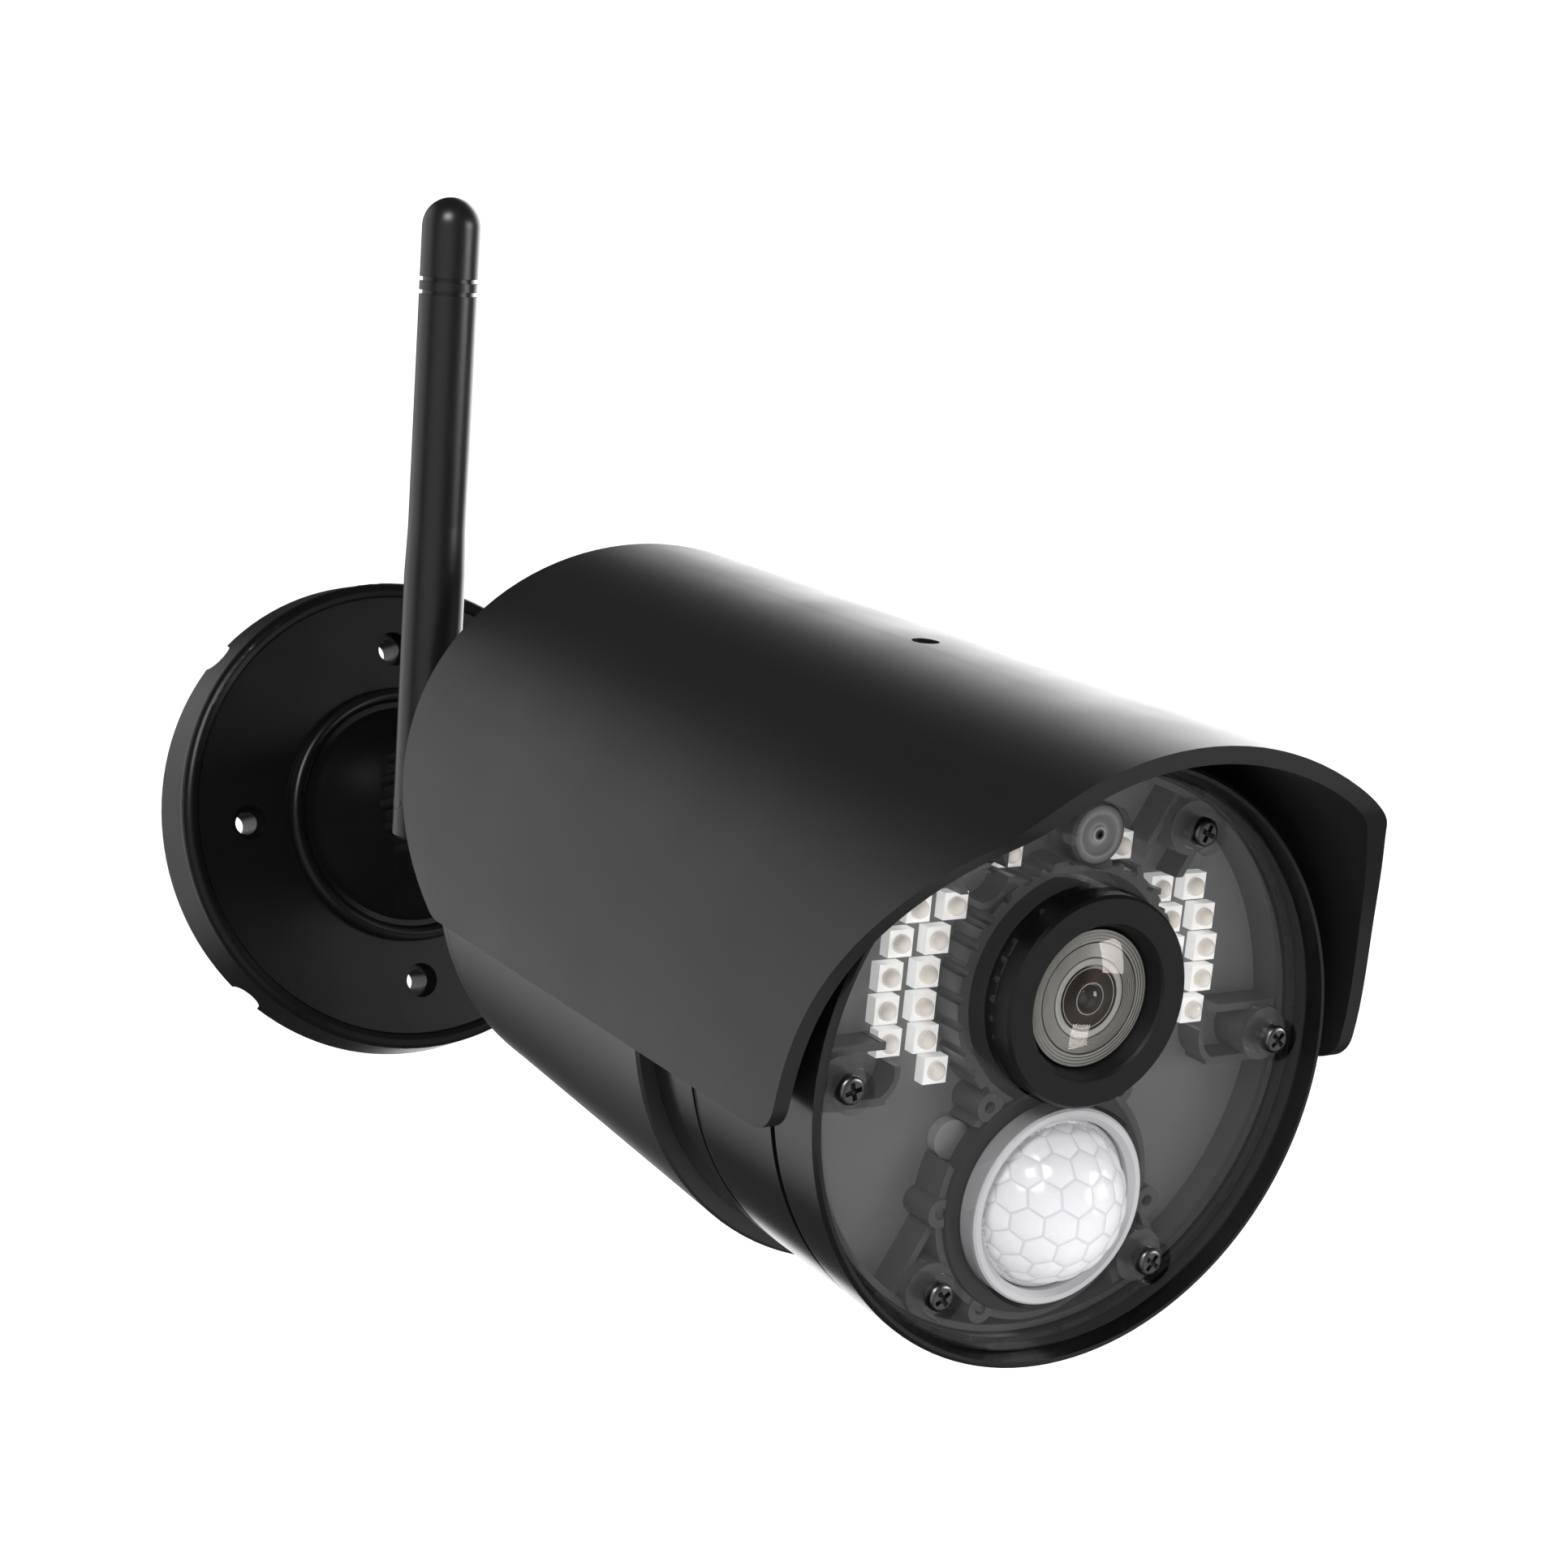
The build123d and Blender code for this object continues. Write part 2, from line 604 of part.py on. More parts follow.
def pir_board():
    """Small round board behind the motion sensor."""
    return rod(11.6, 15.2, 16.6, 0, PIR_Z)


def photocell():
    """Light sensor that switches night mode."""
    return rod(2.6, 8.8, BOARD_FRONT, -12.8, -11.0)


def microphone_boot():
    """Soft boot with a pinhole, set in the window."""
    boot = turned([
        (0, 2.6), (0.9, 2.6), (1.2, 2.9), (2.4, 2.9), (2.8, 2.6), (MIC_R - 0.4, 2.6), (MIC_R, 3.0),
        (MIC_R, 8.0), (0, 8.0),
    ])
    return Pos(0, 0, MIC_Z) * (boot - rod(0.4, 0, 10))


def microphone():
    """Capsule behind the boot."""
    return rod(3.0, 8.0, BOARD_FRONT, 0, MIC_Z)


# ---- inside the rear ----------------------------------------------------------------
def main_board():
    """Horizontal board on two ledges of the rear shell."""
    board = block(-22.4, 22.4, 50.5, 95.5, BOARD_Z, BOARD_Z + BOARD_T)
    for x, y in board_screw_places():
        board -= Pos(x, y, BOARD_Z) * Cylinder(1.2, 6)
    return board


def board_screw_places():
    """The four corners of the main board."""
    return [(x, y) for x in (-BOARD_SCREW_X, BOARD_SCREW_X) for y in BOARD_SCREW_Y]


def processor():
    """Main chip."""
    top = BOARD_Z + BOARD_T
    return block(-8, 8, 58, 74, top, top + 1.4)


def radio_module():
    """Shielded radio, fed by the pigtail."""
    top = BOARD_Z + BOARD_T
    return block(-16, -4, 77, 93, top, top + 2.8)


def board_screws():
    """Four screws of the main board."""
    screw = machine_screw(2.0, 1.2, 0.98, 4.5)
    return [Pos(x, y, BOARD_Z + BOARD_T) * screw for x, y in board_screw_places()]


def speaker():
    """Loudspeaker above the slots in the shell's underside."""
    basket = Pos(0, 69, -31.0) * Cylinder(10.0, 3.0)
    magnet = Pos(0, 69, -27.6) * Cylinder(6.0, 3.8)
    return basket + magnet


def coax_pigtail():
    """Lead from the antenna jack to the radio, clipped along the shell."""
    radio_top = BOARD_Z + BOARD_T + 2.9
    path = Spline(
        (ANT_X, 99.9, ANT_Z), (-22, 87, -4), (-10, 85, radio_top), tangents=((0, -1, 0), (0, 0, -1))
    )
    return sweep(Plane(path @ 0, z_dir=path % 0) * Circle(0.6), path)


def cable_gland():
    """Threaded inlet for the power lead, screwed into the rear cap."""
    gland = rod(4.55, 102, 112.4, 0, -22) + hexagon(11, REAR_FACE + 0.05, 113.5, 0, -22)
    gland += rod(5.0, 113.4, 118.5, 0, -22)
    return gland - rod(3.1, 100, 125, 0, -22)


def gland_bush():
    """Rubber bush that grips the lead."""
    return tube(3.05, 1.6, 104, 119.3, 0, -22)


# ---- antenna ------------------------------------------------------------------------
def antenna_jack():
    """Threaded coaxial jack in the rear cap."""
    jack = rod(3.1, 100, 118, ANT_X, ANT_Z) + rod(3.9, 106.0, 107.4, ANT_X, ANT_Z)
    return jack - rod(0.7, 112, 130, ANT_X, ANT_Z)


def antenna_jack_nut():
    """Nut outside the rear cap."""
    return hexagon(8, REAR_FACE + 0.02, 112.6, ANT_X, ANT_Z) - rod(3.12, 100, 130, ANT_X, ANT_Z)


def antenna_base():
    """Plug that swivels on the jack, with the tongue that the mast folds on."""
    grip = Circle(4.5) + PolarLocations(4.45, 16) * Circle(0.35)
    plug = Pos(ANT_X, 121.8, ANT_Z) * Rot(90, 0, 0) * extrude(grip, 8.6)
    plug += rod(3.6, 121.7, 122.4, ANT_X, ANT_Z)
    tongue = Rot(0, 90, 0) * Cylinder(3.9, TONGUE) + block(-TONGUE / 2, TONGUE / 2, -8, 0, -3.4, 3.4)
    plug += Pos(ANT_X, ANT_PIN_Y, ANT_Z) * tongue
    plug -= rod(3.1 + RUNNING, 110, 118.4, ANT_X, ANT_Z)
    return plug - Pos(ANT_X, ANT_PIN_Y, ANT_Z) * Rot(0, 90, 0) * Cylinder(1.1 + RUNNING, 20)


def antenna_pin():
    """Hinge pin, flush with the mast's cheeks. Antenna frame."""
    return Rot(0, 90, 0) * Cylinder(1.1, 2 * MAST_SLEEVE_R - 0.1)


def antenna_mast():
    """Sleeve with a forked foot. Antenna frame: pin on X, mast up Z."""
    outline = Polyline(
        (0, MAST_FOOT), (MAST_SLEEVE_R - 0.5, MAST_FOOT), (MAST_SLEEVE_R, MAST_FOOT + 0.5),
        (MAST_SLEEVE_R, 35.7), (MAST_R, 43.2), (MAST_R, 77.8), (3.9, 77.8), (3.9, TIP_START),
        (0, TIP_START), close=True,
    )
    mast = revolve(Plane.XZ * make_face(outline), Axis.Z)
    slot = TONGUE / 2 + 0.3
    mast -= block(-slot, slot, -10, 10, -10, 5.2)
    mast -= Rot(0, 90, 0) * Cylinder(1.1, 20)
    return mast - Pos(0, 0, 42) * Cylinder(1.5, 70)


def antenna_band():
    """Flush ring between mast and tip. Antenna frame."""
    ring = Cylinder(MAST_R, 1.3) - Cylinder(3.9, 4)
    return Pos(0, 0, 79.1) * ring


def antenna_tip():
    """Round-ended cap of the mast. Antenna frame."""
    height = TIP_DOME - TIP_START
    sleeve = Pos(0, 0, TIP_START + height / 2) * Cylinder(MAST_R, height)
    return sleeve + Pos(0, 0, TIP_DOME) * Sphere(MAST_R)


def antenna_radiator():
    """Copper element inside the mast. Antenna frame."""
    return Pos(0, 0, 42) * Cylinder(1.45, 69.6)


# ---- the assembly -------------------------------------------------------------------
FIXED = {
    "wall_base": wall_base,
    "lock_collar": lock_collar,
    "ball_seat": ball_seat,
}

ON_CAMERA = {
    "ball_stem": ball_stem,
    "stem_nut": stem_nut,
    "front_ring": front_ring,
    "front_housing": front_housing,
    "mid_housing": mid_housing,
    "housing_seal": housing_seal,
    "rear_shell": rear_shell,
    "rear_cap": rear_cap,
    "sunshield": sunshield,
    "sunshield_screw": sunshield_screw,
    "window": window,
    "window_gasket": lambda: tube(38.3, 37.5, WINDOW_BACK, WINDOW_BACK + 0.8),
    "window_screws": window_screws,
    "front_frame": front_frame,
    "led_board": led_board,
    "led_packages": led_packages,
    "led_domes": led_domes,
    "lens_hood": lens_hood,
    "lens_retaining_ring": lens_retaining_ring,
    "lens_barrel": lens_barrel,
    "lens_front_element": lambda: lens_element(7.95, 3.1, 3.8, 1.6, 1.3),
    "lens_inner_element": lambda: lens_element(4.25, 8.0, 9.6, 1.6),
    "lens_rear_element": lambda: lens_element(4.85, 20.0, 22.0, 0.8),
    "lens_holder": lens_holder,
    "ir_cut_frame": ir_cut_frame,
    "ir_cut_shutter": ir_cut_shutter,
    "ir_cut_glass": ir_cut_glass,
    "image_board": image_board,
    "image_sensor": image_sensor,
    "pir_lens": pir_lens,
    "pir_bezel": pir_bezel,
    "pir_gasket": pir_gasket,
    "pir_sensor": pir_sensor,
    "pir_board": pir_board,
    "photocell": photocell,
    "microphone_boot": microphone_boot,
    "microphone": microphone,
    "main_board": main_board,
    "processor": processor,
    "radio_module": radio_module,
    "board_screws": board_screws,
    "speaker": speaker,
    "coax_pigtail": coax_pigtail,
    "cable_gland": cable_gland,
    "gland_bush": gland_bush,
    "rear_cap_seal": lambda: tube(SHELL_TAIL_R - 0.3, SHELL_TAIL_R - 2.2, SHELL_END, SHELL_END + 0.1),
    "rear_cap_screws": rear_cap_screws,
    "antenna_jack": antenna_jack,
    "antenna_jack_nut": antenna_jack_nut,
    "antenna_base": antenna_base,
}

ON_ANTENNA = {
    "antenna_pin": antenna_pin,
    "antenna_mast": antenna_mast,
    "antenna_band": antenna_band,
    "antenna_tip": antenna_tip,
    "antenna_radiator": antenna_radiator,
}


def placed(place, made):
    """Move a sub-part, or every solid of a group of separate solids, to its place."""
    if isinstance(made, list):
        return Compound([solid for piece in made for solid in (place * piece).solids()])
    return place * made


def main():
    os.makedirs("parts", exist_ok=True)
    for place, nodes in ((Location(), FIXED), (CAMERA, ON_CAMERA), (ANTENNA, ON_ANTENNA)):
        for name, make in nodes.items():
            export_step(placed(place, make()), f"parts/{name}.step")


main()
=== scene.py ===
import math

import bmesh
import bpy
from mathutils import Matrix, Vector


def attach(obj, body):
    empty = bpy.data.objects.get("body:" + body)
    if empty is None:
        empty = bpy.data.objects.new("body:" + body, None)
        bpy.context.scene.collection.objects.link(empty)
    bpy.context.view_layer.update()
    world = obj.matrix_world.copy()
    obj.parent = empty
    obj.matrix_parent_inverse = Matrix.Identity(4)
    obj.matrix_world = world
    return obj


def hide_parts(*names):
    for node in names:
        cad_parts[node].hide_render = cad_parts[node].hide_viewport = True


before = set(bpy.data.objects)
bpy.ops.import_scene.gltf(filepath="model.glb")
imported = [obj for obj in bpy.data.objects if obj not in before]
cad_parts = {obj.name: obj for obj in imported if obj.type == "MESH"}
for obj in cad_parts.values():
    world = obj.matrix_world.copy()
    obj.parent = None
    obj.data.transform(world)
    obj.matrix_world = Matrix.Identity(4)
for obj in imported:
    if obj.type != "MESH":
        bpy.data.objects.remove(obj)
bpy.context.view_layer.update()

MM = 0.001
NOD = math.radians(20.0)          # the camera's nose is down by this much at rest
PIVOT_OUT = 61.0                  # ball centre to wall
PIVOT_BACK = 148.0                # ball centre to the front ring's face

# The bullet is the security camera's housing. This turns its own frame (mm: x right, y back, z up)
# into the row's frame (m).
BULLET = (
    Matrix.Translation((0, -PIVOT_OUT * MM, 0))
    @ Matrix.Rotation(NOD, 4, "X")
    @ Matrix.Translation((0, -PIVOT_BACK * MM, 0))
    @ Matrix.Scale(MM, 4)
)

LENS_Z = 9.0                      # height of the lens's axis in the bullet
PIR_Z = -19.0                     # height of the motion sensor's axis
MICROPHONE = (0, 2.6, 29.6)       # middle of the microphone's boot
BOOT_R = 4.4                      # radius of the boot's face


# ---- materials ------------------------------------------------------------------------
def material(name, color, roughness, metallic=0.0, **inputs):
    """A principled material; returns it with its node tree and its shader."""
    mat = bpy.data.materials.new(name)
    mat.use_nodes = True
    tree = mat.node_tree
    shader = tree.nodes["Principled BSDF"]
    shader.inputs["Base Color"].default_value = (*color, 1)
    shader.inputs["Roughness"].default_value = roughness
    shader.inputs["Metallic"].default_value = metallic
    for key, value in inputs.items():
        shader.inputs[key.replace("_", " ")].default_value = value
    return mat, tree, shader


def grain(tree, shader, scale, strength, depth, detail):
    """Fine moulded texture as bump; depth in metres."""
    coords = tree.nodes.new("ShaderNodeTexCoord")
    noise = tree.nodes.new("ShaderNodeTexNoise")
    noise.inputs["Scale"].default_value = scale
    noise.inputs["Detail"].default_value = detail
    bump = tree.nodes.new("ShaderNodeBump")
    bump.inputs["Strength"].default_value = strength
    bump.inputs["Distance"].default_value = depth
    tree.links.new(coords.outputs["Object"], noise.inputs["Vector"])
    tree.links.new(noise.outputs["Fac"], bump.inputs["Height"])
    tree.links.new(bump.outputs["Normal"], shader.inputs["Normal"])


def mottle(tree, shader, low, high, scale):
    """Slow variation of the roughness over the surface."""
    coords = tree.nodes.new("ShaderNodeTexCoord")
    noise = tree.nodes.new("ShaderNodeTexNoise")
    noise.inputs["Scale"].default_value = scale
    noise.inputs["Detail"].default_value = 3.0
    spread = tree.nodes.new("ShaderNodeMapRange")
    spread.inputs["From Min"].default_value = 0.3
    spread.inputs["From Max"].default_value = 0.7
    spread.inputs["To Min"].default_value = low
    spread.inputs["To Max"].default_value = high
    tree.links.new(coords.outputs["Object"], noise.inputs["Vector"])
    tree.links.new(noise.outputs["Fac"], spread.inputs["Value"])
    tree.links.new(spread.outputs["Result"], shader.inputs["Roughness"])


def plastic(name, color, rough_low, rough_high, grain_scale, grain_strength, **inputs):
    """Moulded plastic or rubber, with its fine grain."""
    mat, tree, shader = material(name, color, rough_high, **inputs)
    mottle(tree, shader, rough_low, rough_high, 60.0)
    if grain_strength:
        grain(tree, shader, grain_scale, grain_strength, 0.04 * MM, 4.0)
    return mat


def metal(name, color, rough_low, rough_high, grain_strength=0.08):
    """Bare or plated metal with faint tool marks."""
    mat, tree, shader = material(name, color, rough_high, 1.0)
    mottle(tree, shader, rough_low, rough_high, 400.0)
    grain(tree, shader, 900.0, grain_strength, 0.03 * MM, 2.0)
    return mat


def pane(name, color, roughness, opacity):
    """Clear or smoked sheet: straight see-through, more of a mirror at a glancing angle."""
    mat, tree, shader = material(name, color, roughness, 1.0)
    mottle(tree, shader, roughness, roughness + 0.01, 80.0)
    rim = tree.nodes.new("ShaderNodeLayerWeight")
    rim.inputs["Blend"].default_value = 0.5
    steep = tree.nodes.new("ShaderNodeMath")
    steep.operation = "POWER"
    steep.inputs[1].default_value = 5.0
    share = tree.nodes.new("ShaderNodeMapRange")
    share.inputs["To Min"].default_value = opacity
    share.inputs["To Max"].default_value = 1.0
    tree.links.new(rim.outputs["Facing"], steep.inputs[0])
    tree.links.new(steep.outputs[0], share.inputs["Value"])
    tree.links.new(share.outputs["Result"], shader.inputs["Alpha"])
    return mat


def clear(name, color, roughness, ior):
    """Solid glass that bends the light."""
    mat, tree, shader = material(name, color, roughness, IOR=ior, Transmission_Weight=1.0)
    mottle(tree, shader, roughness, roughness + 0.01, 80.0)
    return mat


def painted_rings(name, middle, radius, painted_greys):
    """Soft rubber with painted reflection in rings about a point: lighter and darker rings set in its
    colour; the list gives (share of the radius, brightness) outwards.
    """
    mat, tree, shader = material(name, (0.1, 0.1, 0.1), 0.4)
    coords = tree.nodes.new("ShaderNodeTexCoord")
    away = tree.nodes.new("ShaderNodeVectorMath")
    away.operation = "DISTANCE"
    away.inputs[1].default_value = BULLET @ Vector(middle)
    share = tree.nodes.new("ShaderNodeMapRange")
    share.inputs["From Max"].default_value = radius * MM
    bands = tree.nodes.new("ShaderNodeValToRGB")
    stops = bands.color_ramp.elements
    for at, painted_grey in painted_greys[1:-1]:
        stops.new(at).color = (painted_grey, painted_grey, painted_grey, 1)
    for stop, (_, painted_grey) in ((stops[0], painted_greys[0]), (stops[-1], painted_greys[-1])):
        stop.color = (painted_grey, painted_grey, painted_grey, 1)
    tree.links.new(coords.outputs["Object"], away.inputs[0])
    tree.links.new(away.outputs["Value"], share.inputs["Value"])
    tree.links.new(share.outputs["Result"], bands.inputs["Fac"])
    tree.links.new(bands.outputs["Color"], shader.inputs["Base Color"])
    return mat


# plastics: colour, lowest and highest roughness, grain's scale and strength
shield_black = plastic(
    "shield_plastic", (0.0085, 0.0086, 0.0092), 0.34, 0.40, 3200.0, 0.16, Specular_IOR_Level=0.42
)
case_black = plastic(
    "case_plastic", (0.0115, 0.0116, 0.0122), 0.34, 0.40, 3200.0, 0.08, Specular_IOR_Level=1.0
)
ring_black = plastic("ring_plastic", (0.0055, 0.0056, 0.0058), 0.16, 0.22, 2600.0, 0.02)
base_black = plastic(
    "base_plastic", (0.0033, 0.0034, 0.0036), 0.26, 0.32, 2600.0, 0.05, Specular_IOR_Level=0.24
)
antenna_black = plastic("antenna_plastic", (0.0065, 0.0066, 0.007), 0.30, 0.36, 3000.0, 0.06)
hood_black = plastic(
    "hood_plastic", (0.0065, 0.0065, 0.0068), 0.36, 0.42, 2600.0, 0.08, Specular_IOR_Level=0.3
)
inner_grey = plastic("inner_plastic", (0.055, 0.0555, 0.057), 0.30, 0.40, 1500.0, 0.05)
rubber_black = plastic("rubber", (0.012, 0.012, 0.012), 0.6, 0.7, 2000.0, 0.2)
board_black = plastic("board_mask", (0.14, 0.141, 0.143), 0.35, 0.45, 1500.0, 0.05)
board_green = plastic("board_green", (0.01, 0.07, 0.03), 0.3, 0.4, 1200.0, 0.05)
chip_black = plastic("chip", (0.02, 0.02, 0.02), 0.5, 0.6, 2500.0, 0.1)
# LED packages: the emission is painted glow that lightens them
led_white = plastic(
    "led_white", (0.86, 0.86, 0.85), 0.35, 0.45, 2500.0, 0.04,
    Emission_Color=(1, 1, 0.98, 1), Emission_Strength=0.35,
)
pir_white = plastic("pir_white", (0.64, 0.635, 0.65), 0.22, 0.3, 1500.0, 0.02)
bezel_grey = plastic("bezel_grey", (0.40, 0.40, 0.41), 0.2, 0.28, 1500.0, 0.02)
cell_grey = plastic("photocell", (0.3, 0.3, 0.3), 0.4, 0.5, 1500.0, 0.05)
# the microphone's boot: its lighter and darker rings are painted reflection, set in its colour about the
# boot's middle
boot_painted_rings = painted_rings("boot_rubber_painted_reflection", MICROPHONE, BOOT_R, (
    (0.00, 0.004), (0.11, 0.01), (0.14, 0.05), (0.19, 0.27), (0.27, 0.21), (0.36, 0.11),
    (0.50, 0.09), (0.64, 0.17), (0.73, 0.11), (0.84, 0.06), (1.00, 0.03),
))
coax_black = plastic("coax", (0.015, 0.015, 0.015), 0.35, 0.45, 1500.0, 0.05)

# metals: colour, lowest and highest roughness
steel = metal("screw_steel", (0.18, 0.18, 0.185), 0.25, 0.38)
barrel_grey = metal("barrel_ridges", (0.36, 0.345, 0.30), 0.35, 0.45)
black_steel = metal("black_steel", (0.06, 0.06, 0.062), 0.3, 0.42)
ring_metal = metal("retaining_ring", (0.14, 0.14, 0.145), 0.2, 0.3)
brass = metal("gold_plate", (0.72, 0.52, 0.22), 0.2, 0.3)
tin = metal("tinned_can", (0.6, 0.6, 0.6), 0.3, 0.4)
copper = metal("copper", (0.75, 0.4, 0.22), 0.25, 0.35)

window_glass = pane("smoked_window", (0.38, 0.38, 0.39), 0.03, 0.10)
# LED domes: the emission is painted glow that lightens them
epoxy_painted_glow = plastic(
    "clear_epoxy", (0.80, 0.74, 0.67), 0.10, 0.14, 1500.0, 0.0,
    Emission_Color=(1, 0.93, 0.86, 1), Emission_Strength=0.18,
)
lens_glass = pane("lens_glass", (0.62, 0.56, 0.52), 0.01, 0.07)
filter_glass = clear("filter_glass", (0.5, 0.85, 0.9), 0.02, 1.4)
sensor_dark, _, _ = material("sensor", (0.02, 0.015, 0.03), 0.15, 0.3)
# the lenslets' borders: darker than the dome's white, painted shade
pir_crease_painted_shade = plastic("pir_crease_painted_shade", (0.52, 0.51, 0.56), 0.3, 0.4, 1500.0, 0.0)
trap_dark = plastic("trap_dark", (0.035, 0.034, 0.032), 0.35, 0.45, 1500.0, 0.0)
# the next two: lighter tones that are painted reflection on the lens's ridges and rings
trap_grey_painted_reflection = plastic("trap_grey_painted_reflection", (0.27, 0.265, 0.24), 0.25, 0.35, 1500.0, 0.0)
trap_band_painted_reflection = plastic("trap_band_painted_reflection", (0.33, 0.32, 0.30), 0.25, 0.35, 1500.0, 0.0)
trap_black = plastic("trap_black", (0.006, 0.006, 0.007), 0.2, 0.3, 1500.0, 0.0)
trap_bronze = metal("trap_bronze", (0.075, 0.058, 0.048), 0.2, 0.3, 0.0)
core_glass = metal("core_glass", (0.06, 0.06, 0.062), 0.04, 0.07, 0.0)

FINISH = {
    "sunshield": shield_black,
    "front_ring": ring_black,
    "front_housing": ring_black,
    "mid_housing": ring_black,
    "rear_shell": case_black,
    "rear_cap": case_black,
    "wall_base": base_black,
    "lock_collar": base_black,
    "stem_nut": base_black,
    "ball_seat": inner_grey,
    "ball_stem": black_steel,
    "window": window_glass,
    "window_gasket": rubber_black,
    "window_screws": steel,
    "front_frame": inner_grey,
    "led_board": board_black,
    "led_packages": led_white,
    "led_domes": epoxy_painted_glow,
    "lens_hood": hood_black,
    "lens_retaining_ring": ring_metal,
    "lens_barrel": barrel_grey,
    "lens_front_element": lens_glass,
    "lens_inner_element": lens_glass,
    "lens_rear_element": lens_glass,
    "lens_holder": chip_black,
    "ir_cut_frame": chip_black,
    "ir_cut_shutter": chip_black,
    "ir_cut_glass": filter_glass,
    "image_board": board_green,
    "image_sensor": sensor_dark,
    "main_board": board_green,
    "radio_module": tin,
    "processor": chip_black,
    "board_screws": steel,
    "speaker": black_steel,
    "pir_lens": pir_white,
    "pir_bezel": bezel_grey,
    "pir_gasket": rubber_black,
    "pir_sensor": tin,
    "pir_board": board_green,
    "photocell": cell_grey,
    "microphone_boot": boot_painted_rings,
    "microphone": tin,
    "housing_seal": rubber_black,
    "rear_cap_seal": rubber_black,
    "rear_cap_screws": black_steel,
    "sunshield_screw": black_steel,
    "antenna_jack": brass,
    "antenna_jack_nut": brass,
    "coax_pigtail": coax_black,
    "cable_gland": case_black,
    "gland_bush": rubber_black,
    "antenna_base": antenna_black,
    "antenna_pin": black_steel,
    "antenna_mast": antenna_black,
    "antenna_band": antenna_black,
    "antenna_tip": antenna_black,
    "antenna_radiator": copper,
}

for name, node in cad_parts.items():
    node.data.materials.clear()
    node.data.materials.append(FINISH[name])

# ---- pieces that only Blender shapes, in the bullet's frame (mm) -----------------------
ROOT3 = math.sqrt(3)


def add_piece(name, build, materials, node, *more_nodes):
    """Turns a bmesh in the bullet's frame into an object that stands for CAD nodes."""
    build.transform(BULLET)
    bmesh.ops.recalc_face_normals(build, faces=build.faces)
    mesh = bpy.data.meshes.new(name)
    build.to_mesh(mesh)
    build.free()
    for mat in materials:
        mesh.materials.append(mat)
    piece = bpy.data.objects.new(name, mesh)
    bpy.context.scene.collection.objects.link(piece)
    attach(piece, "camera")
    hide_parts(node, *more_nodes)


def run(material_index, *points, smooth=False):
    """Profile points (radius, station), with the look of the surface that starts at each."""
    return [(radius, station, material_index, smooth) for radius, station in points]


def lathe(profile, z):
    """Closed body of revolution about the axis at height z, through the profile's points."""
    steps = 128                   # sides of the body
    build = bmesh.new()
    rings = []
    for radius, station, _, _ in profile:
        if radius < 1e-6:
            rings.append([build.verts.new((0, station, z))])
            continue
        angles = (math.tau * i / steps for i in range(steps))
        rings.append([
            build.verts.new((radius * math.cos(a), station, z + radius * math.sin(a))) for a in angles
        ])
    for first, second, (_, _, material_index, smooth) in zip(rings, rings[1:] + rings[:1], profile):
        for i in range(steps):
            corners = [first[i % len(first)], first[(i + 1) % len(first)]]
            corners += [second[(i + 1) % len(second)], second[i % len(second)]]
            corners = list(dict.fromkeys(corners))      # a pole gives the same corner twice
            if len(corners) > 2:
                face = build.faces.new(corners)
                face.material_index = material_index
                face.smooth = smooth
    return build


def dome_profile(radius, edge, rise, material_index, steps=16):
    """Profile of a cap, from its rim at the station edge to its pole, which lies rise in front of it."""
    ball = (radius**2 + rise**2) / (2 * rise)
    top = math.asin(radius / ball)
    angles = (top * (1 - i / steps) for i in range(steps + 1))
    points = ((ball * math.sin(a), edge - rise + ball - ball * math.cos(a)) for a in angles)
    return run(material_index, *points, smooth=True)


def from_middle(u, v, cell):
    """Where a point of a sheet of hexagons lies: 0 at its hexagon's middle, 1 on the border."""
    half = cell * ROOT3 / 2
    row = round(u / half)
    shares = []
    for near in (row - 1, row, row + 1):
        shift = (near % 2) * 1.5 * cell
        middle = round((v - shift) / (3 * cell)) * 3 * cell + shift
        du, dv = abs(u - near * half), abs(v - middle)
        shares.append(max(du, du / 2 + dv * ROOT3 / 2) / half)
    return min(shares)


